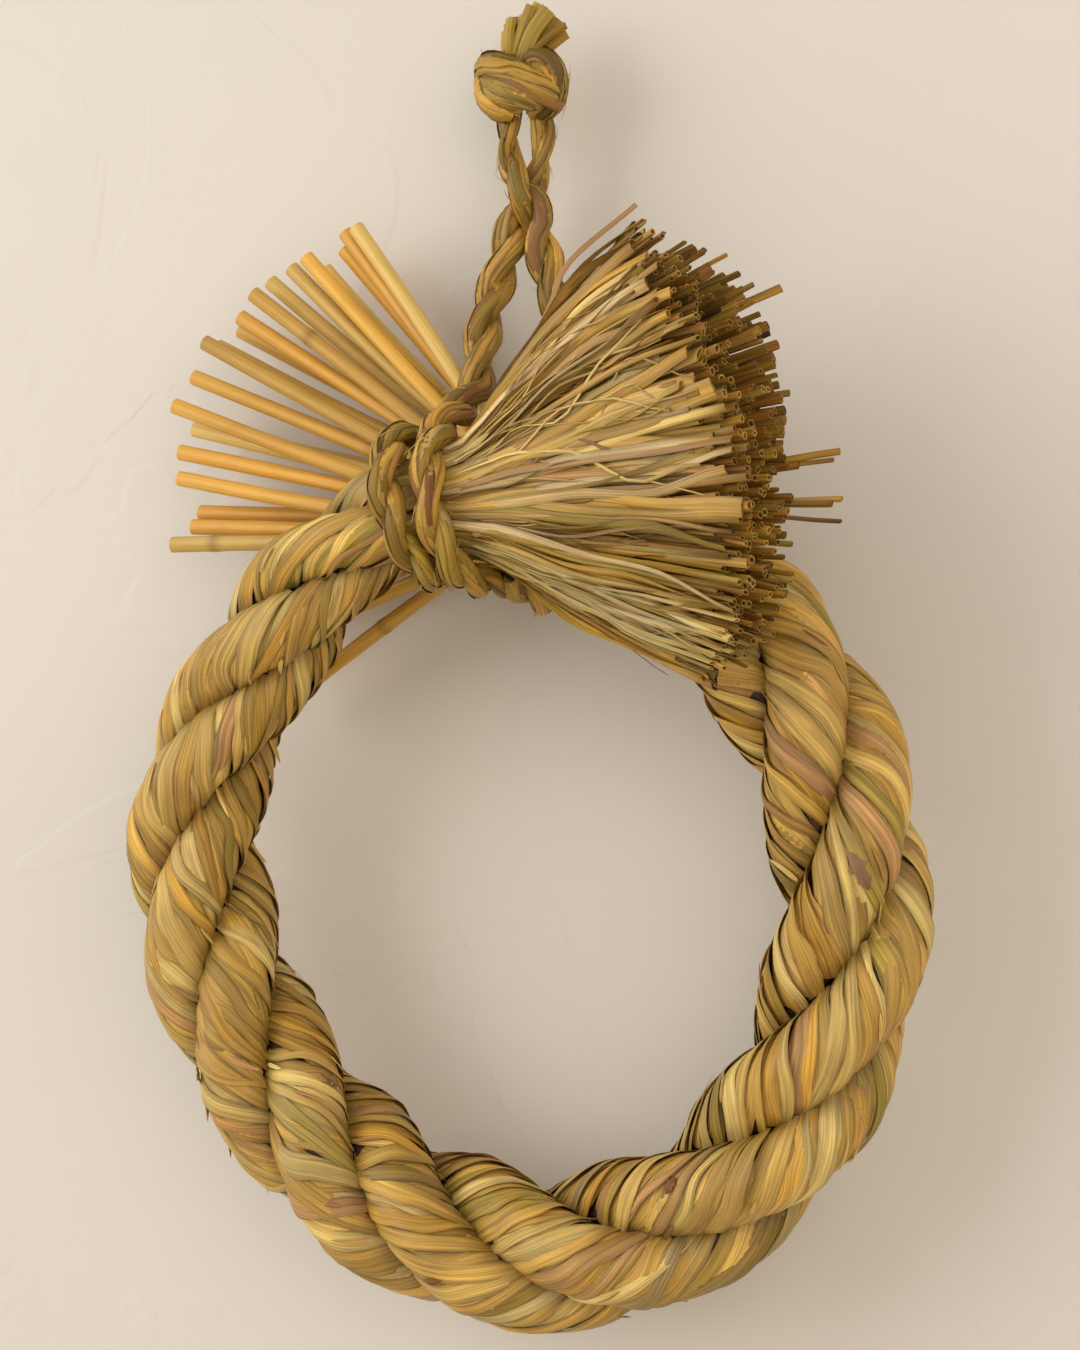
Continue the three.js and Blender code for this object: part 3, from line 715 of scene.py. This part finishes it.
def brush_straw(straws, rng, around, width, reach, half, *, stations=19, first=-0.09, collar=1.6,
                palette=BRUSH_PALETTE, flat=0.35, sway=4.0, wave=1.0, tip=END_PALETTE, tip_share=0.25,
                lean=0.3, fold=0.0, tone_and_shade=1.0):
    """One straw of the brush, with a little sway of its own, in another colour towards its cut end."""
    share = np.linspace(first, 1, stations)
    turned = around + sway * rng.normal() * share + wander(rng, stations, wave, 5) * np.clip(share * 4, 0, 1)
    spread = width * (1 + wander(rng, stations, 0.022, 5))
    path = brush_place(turned, spread, share, BRUSH_LENGTH * reach)
    normal = unit(brush_place(turned, spread + 0.05, share, BRUSH_LENGTH * reach) - path)
    path = path + normal * collar * (1 - smoothstep(share, 0.0, 0.2))[:, None]
    sides = 8 if stations > 12 else 6
    angle = np.arange(sides) * 2 * pi / sides
    across = np.cos(angle)
    height = np.sin(angle) * flat + rng.normal(0, 0.05, sides)
    height = height - fold * np.abs(across - rng.uniform(-0.4, 0.4))
    # The straw's colour is scaled: a random tone, or painted shade for straws deeper in the brush
    start, end = mixed(rng, palette) * tone_and_shade, mixed(rng, tip)
    fade = smoothstep(share, 1 - tip_share, 1.05)[:, None]
    tint = start * (1 - fade) + end * fade
    tint = tint * (1 + wander(rng, stations, 0.06)[:, None])
    size = half * (1 + wander(rng, stations, 0.08)) * np.interp(share, [-0.1, 0.25, 1], [0.75, 1, 1.05])
    swept(straws, path, normal, size, across, height, tint,
          roll=rng.normal(0, lean) + wander(rng, stations, 0.3, 4), hollow=1.2, edge_shade=0.4)


def stray(straws, points, half, tint):
    """One straw on its own way out of the brush."""
    path, _ = smooth_path(points, spacing=4)
    angle = np.arange(7) * 2 * pi / 7
    taper = np.linspace(1, 0.7, len(path))
    swept(straws, path, np.broadcast_to(FRONT, path.shape), half * taper, np.cos(angle),
          np.sin(angle) * 0.5, tint, hollow=1.5)


GOLDEN_ANGLE = 137.5
HEART_STRAWS = 460
STEMS = 210
LEAVES = 135
PALE_BUNCH = 14
SHREDS = 130

# Straws that stand out of the cut face: degrees round the brush, and their length as a share of the rest
LONG_STRAWS = [(184, 1.14), (187, 1.12), (193, 1.13), (196, 1.10), (199, 1.12), (140, 1.03)]


def brush(material):
    """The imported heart, the stems round it, and the flat leaves, shreds and strays on top."""
    rng = np.random.default_rng(410)
    straws = Straws()
    for i in range(HEART_STRAWS):
        width = 0.9 * np.sqrt((i + 0.5) / HEART_STRAWS)
        # Painted shade: the heart's straws take the darker colours of the cut ends all along, darkening the
        # deep inside of the brush
        brush_straw(straws, rng, i * GOLDEN_ANGLE, width, rng.uniform(0.88, 1.0), rng.uniform(0.9, 1.5),
                    stations=9, first=0.0, collar=0.0, palette=END_PALETTE + [(STRAW, 20)], flat=0.75,
                    sway=3, wave=0.5, tip_share=0.4)
    straws.piece("brush_heart", material, "brush_straw", "straw_brush")
    straws = Straws()
    for i in range(STEMS):
        around = rng.uniform(-115, 115) if i % 3 else rng.uniform(100, 260)
        width = rng.uniform(0.76, 0.97)
        # Painted shade: stems nearer the middle of the brush are darker
        brush_straw(straws, rng, around, width, rng.uniform(0.88, 1.02), rng.uniform(0.75, 1.5),
                    flat=rng.uniform(0.4, 0.8), sway=4, wave=0.8, tone_and_shade=0.6 + 0.45 * (width - 0.76) / 0.21)
    straws.piece("brush_stems", material, "brush_straw", "straw_brush")
    straws = Straws()
    for i in range(LEAVES):
        around = rng.uniform(-112, 112) if i % 5 else rng.uniform(100, 260)
        short = 0.6 if i % 9 == 0 else 1.0
        brush_straw(straws, rng, around, rng.uniform(0.95, 1.02), rng.uniform(0.86, 1.0) * short,
                    rng.uniform(1.0, 2.6), flat=rng.uniform(0.1, 0.25), sway=7, wave=1.5, collar=2.2,
                    tip_share=0.12, lean=0.55, fold=rng.uniform(0, 0.5), tone_and_shade=rng.uniform(0.88, 1.12))
    for _ in range(PALE_BUNCH):
        brush_straw(straws, rng, rng.uniform(-64, -48), rng.uniform(0.96, 1.05), rng.uniform(0.96, 1.02),
                    rng.uniform(0.8, 1.6), flat=0.3, palette=[(PALE, 4), ((0.84, 0.78, 0.56), 4)], sway=2,
                    tip=[(PALE, 1)])
    for _ in range(SHREDS):
        brush_straw(straws, rng, rng.uniform(-100, 95), rng.uniform(1.0, 1.06), rng.uniform(0.35, 0.95),
                    rng.uniform(0.22, 0.5), stations=16, first=rng.uniform(-0.05, 0.3), sway=18, wave=3,
                    collar=2.6, palette=[(PINK, 4), (BROWN, 2), (PALE, 5), (STRAW, 3)], tip_share=0.1)
    root = brush_place(84, 0.9, 0.1, BRUSH_LENGTH)
    knee = brush_place(88, 1.05, 0.55, BRUSH_LENGTH)
    stray(straws, [root, knee, at_top(29, -32, 74), at_top(50, -30, 91)], 1.1, linear(PINK))
    for around, reach in LONG_STRAWS:
        brush_straw(straws, rng, around, 0.9, reach, rng.uniform(0.7, 1.3), flat=0.6, sway=1, wave=0.8,
                    tip=[(GOLD, 3), (BROWN, 1)])
    straws.piece("brush_straw", material, "brush_straw", "straw_brush")


# The fan

def stem_axis(node):
    """The middle of both ends of a CAD stem, root first, in millimetres about the ring's centre."""
    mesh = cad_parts[node].data
    points = np.empty(len(mesh.vertices) * 3)
    mesh.vertices.foreach_get("co", points)
    points = points.reshape(-1, 3) / MM + EYE
    middle = points.mean(axis=0)
    axis = np.linalg.svd(points - middle)[2][0]
    place = (points - middle) @ axis
    ends = [points[place < place.min() + 1].mean(axis=0), points[place > place.max() - 1].mean(axis=0)]
    crossing = at_top(0, 10, 0)
    return sorted(ends, key=lambda end: np.linalg.norm(end - crossing))


FAN_PALETTE = [((0.88, 0.67, 0.28), 44), (STRAW, 26), (PALE, 16), (GREEN, 4)]

# A stem's radius at its root, and how much it gains on the way to its tip
STEM_RADIUS = 2.2
STEM_SPREAD = 0.4


def fan_stem(node, number, material):
    """One hollow stem, a little thicker at its tip, with a dark joint on every fourth."""
    rng = np.random.default_rng(510 + number)
    root, tip = stem_axis(node)
    stations = 34
    share = np.linspace(0, 1, stations)
    length = np.linalg.norm(tip - root)
    bow = np.cross(unit(tip - root), FRONT) * rng.normal(0, 0.9) + FRONT * rng.normal(0, 0.5)
    path = root + (tip - root) * share[:, None] + bow * np.sin(pi * share)[:, None]
    half = STEM_RADIUS + STEM_SPREAD * share + wander(rng, stations, 0.05)
    tint = mixed(rng, FAN_PALETTE)
    tint = tint * (1 + wander(rng, stations, 0.05)[:, None])
    if number % 4 == 2:
        joint = rng.uniform(0.25, 0.85)
        near = np.exp(-((share - joint) * length / 1.3) ** 2)
        half = half + 0.35 * near
        tint = tint * (1 - 0.5 * near[:, None])
    sides = 14
    angle = np.arange(sides) * 2 * pi / sides
    height = np.sin(angle) * rng.uniform(0.88, 1) + rng.normal(0, 0.02, sides)
    straws = Straws()
    swept(straws, path, np.broadcast_to(FRONT, path.shape), half, np.cos(angle), height, tint, hollow=4)
    straws.piece(node.replace("fan_stem", "fan_straw"), material, "fan_straw", node)


# Materials

def straw_material(name, streak, roughness, relief, stain):
    """Dry straw: its tint, streaked along the fibres, with fine ribs and weathered patches."""
    material = bpy.data.materials.new(name)
    material.use_nodes = True
    nodes, links = material.node_tree.nodes, material.node_tree.links
    shader = nodes["Principled BSDF"]
    tint = nodes.new("ShaderNodeAttribute")
    tint.attribute_name = "tint"
    grain = nodes.new("ShaderNodeAttribute")
    grain.attribute_name = "grain"

    def fibres(across, lengthways, detail):
        scaled = nodes.new("ShaderNodeVectorMath")
        scaled.operation = "MULTIPLY"
        scaled.inputs[1].default_value = (across, lengthways, 1)
        links.new(grain.outputs["Vector"], scaled.inputs[0])
        noise = nodes.new("ShaderNodeTexNoise")
        noise.inputs["Scale"].default_value = 1
        noise.inputs["Detail"].default_value = detail
        links.new(scaled.outputs[0], noise.inputs["Vector"])
        return noise.outputs["Fac"]

    def spread(source, low, high, start=0.3, end=0.7):
        mapped = nodes.new("ShaderNodeMapRange")
        mapped.inputs["From Min"].default_value = start
        mapped.inputs["From Max"].default_value = end
        mapped.inputs["To Min"].default_value = low
        mapped.inputs["To Max"].default_value = high
        links.new(source, mapped.inputs["Value"])
        return mapped.outputs["Result"]

    def blend(kind, factor, first, second):
        mix = nodes.new("ShaderNodeMix")
        mix.data_type = "RGBA"
        mix.blend_type = kind
        for value, socket in ((factor, mix.inputs[0]), (first, mix.inputs[6]), (second, mix.inputs[7])):
            if isinstance(value, bpy.types.NodeSocket):
                links.new(value, socket)
            else:
                socket.default_value = value
        return mix.outputs[2]

    fine = fibres(2.6, 0.035, 3)
    broad = fibres(0.7, 0.02, 2)
    patches = fibres(0.16, 0.05, 3)
    colour = blend("MULTIPLY", 1.0, tint.outputs["Color"], spread(fine, 1 - streak, 1 + streak * 0.5))
    colour = blend("MULTIPLY", 1.0, colour, spread(broad, 1 - streak * 0.7, 1 + streak * 0.4))
    brown = (*linear((0.50, 0.35, 0.20)), 1)
    colour = blend("MIX", spread(patches, 0, stain, 0.52, 0.72), colour, brown)
    links.new(colour, shader.inputs["Base Color"])
    links.new(spread(fine, roughness - 0.1, roughness + 0.12), shader.inputs["Roughness"])
    shader.inputs["Specular IOR Level"].default_value = 0.4
    ribs = nodes.new("ShaderNodeMath")
    ribs.operation = "ADD"
    links.new(fine, ribs.inputs[0])
    links.new(broad, ribs.inputs[1])
    bump = nodes.new("ShaderNodeBump")
    bump.inputs["Strength"].default_value = relief
    bump.inputs["Distance"].default_value = 0.35 * MM
    links.new(ribs.outputs[0], bump.inputs["Height"])
    links.new(bump.outputs["Normal"], shader.inputs["Normal"])
    return material


# The stage: a pale floor, and a pale wall that shows only from the front

def plane(name, corners, material):
    mesh = bpy.data.meshes.new(name)
    mesh.from_pydata(corners, [], [(0, 1, 2, 3)])
    mesh.materials.append(material)
    sheet = bpy.data.objects.new(name, mesh)
    bpy.context.scene.collection.objects.link(sheet)


def stage_material(name, colour, one_sided=False):
    """Matte paint, a little uneven in tone, with the low edges that a trowel leaves."""
    material = bpy.data.materials.new(name)
    material.use_nodes = True
    nodes, links = material.node_tree.nodes, material.node_tree.links
    shader = nodes["Principled BSDF"]
    shader.inputs["Roughness"].default_value = 0.9
    place = nodes.new("ShaderNodeTexCoord")

    def noise(scale, detail, distortion):
        texture = nodes.new("ShaderNodeTexNoise")
        texture.inputs["Scale"].default_value = scale
        texture.inputs["Detail"].default_value = detail
        texture.inputs["Distortion"].default_value = distortion
        links.new(place.outputs["Object"], texture.inputs["Vector"])
        return texture.outputs["Fac"]

    mix = nodes.new("ShaderNodeMix")
    mix.data_type = "RGBA"
    links.new(noise(5, 4, 0), mix.inputs[0])
    mix.inputs[6].default_value = (*linear(colour) * 0.94, 1)
    mix.inputs[7].default_value = (*linear(colour) * 1.04, 1)
    links.new(mix.outputs[2], shader.inputs["Base Color"])
    edges = nodes.new("ShaderNodeMapRange")
    edges.inputs["From Min"].default_value = 0.545
    edges.inputs["From Max"].default_value = 0.56
    edges.inputs["To Max"].default_value = 0.5
    links.new(noise(6.5, 5, 0.8), edges.inputs["Value"])
    height = nodes.new("ShaderNodeMath")
    height.operation = "ADD"
    links.new(noise(24, 5, 0), height.inputs[0])
    links.new(edges.outputs["Result"], height.inputs[1])
    bump = nodes.new("ShaderNodeBump")
    bump.inputs["Strength"].default_value = 0.35
    bump.inputs["Distance"].default_value = 1.2 * MM
    links.new(height.outputs[0], bump.inputs["Height"])
    links.new(bump.outputs["Normal"], shader.inputs["Normal"])
    if one_sided:
        clear = nodes.new("ShaderNodeBsdfTransparent")
        seen = nodes.new("ShaderNodeMixShader")
        side = nodes.new("ShaderNodeNewGeometry")
        links.new(side.outputs["Backfacing"], seen.inputs[0])
        links.new(shader.outputs[0], seen.inputs[1])
        links.new(clear.outputs[0], seen.inputs[2])
        links.new(seen.outputs[0], nodes["Material Output"].inputs["Surface"])
    return material


PAINT = (0.845, 0.83, 0.80)
FLOOR_PAINT = (0.86, 0.84, 0.80)
ROOM = (0.92, 0.895, 0.87)


def stage():
    wall_y, floor_z, side, high = 0.0215, -0.47, 2.0, 1.6
    plane("wall", [(-side, wall_y, floor_z), (side, wall_y, floor_z), (side, wall_y, high),
                   (-side, wall_y, high)], stage_material("wall_paint", PAINT, one_sided=True))
    plane("floor", [(-side, -side, floor_z), (side, -side, floor_z), (side, side, floor_z),
                    (-side, side, floor_z)], stage_material("floor_paint", FLOOR_PAINT))


def area_light(name, place, target, size, power, colour):
    light = bpy.data.lights.new(name, "AREA")
    light.size = size
    light.energy = power
    light.color = colour
    lamp = bpy.data.objects.new(name, light)
    lamp.location = place
    lamp.rotation_euler = (Vector(target) - Vector(place)).to_track_quat("-Z", "Y").to_euler()
    bpy.context.scene.collection.objects.link(lamp)


def lights():
    """A wide soft window at the left, a warm fill from the right and the light of the room."""
    middle = (0, 0, -0.17)
    area_light("window", (-1.6, -1.3, 0.45), middle, 1.8, 26, (1.0, 0.965, 0.92))
    area_light("fill", (1.2, -1.5, 0.1), middle, 1.6, 15, (1.0, 0.85, 0.70))
    world = bpy.data.worlds.new("room")
    bpy.context.scene.world = world
    world.use_nodes = True
    background = world.node_tree.nodes["Background"]
    background.inputs["Color"].default_value = (*linear(ROOM), 1)
    background.inputs["Strength"].default_value = 0.74


def camera():
    """The photo's view, from a little to the right."""
    data = bpy.data.cameras.new("camera")
    data.sensor_width = 36
    data.lens = 66.67
    viewer = bpy.data.objects.new("camera", data)
    viewer.location = (0.2937, -0.7154, -0.1675)
    viewer.rotation_euler = (radians(90), 0, radians(22))
    bpy.context.scene.collection.objects.link(viewer)
    bpy.context.scene.camera = viewer


camera()
lights()
stage()
rope_material = straw_material("rope_straw", 0.42, 0.44, 0.9, 0.35)
cord_material = straw_material("cord_straw", 0.36, 0.5, 0.7, 0.3)
brush_material = straw_material("brush_straw", 0.34, 0.5, 0.7, 0.25)
fan_material = straw_material("fan_straw", 0.16, 0.36, 0.25, 0.2)
lay = rope_lay()
for strand in range(ROPE_STRANDS):
    rope_strand(strand, lay, rope_material)
binding(cord_material)
hanging_cord(cord_material)
brush(brush_material)
for number, node in enumerate(sorted(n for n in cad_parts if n.startswith("fan_stem"))):
    fan_stem(node, number, fan_material)
bpy.context.scene.view_settings.view_transform = "Standard"

bpy.context.view_layer.update()
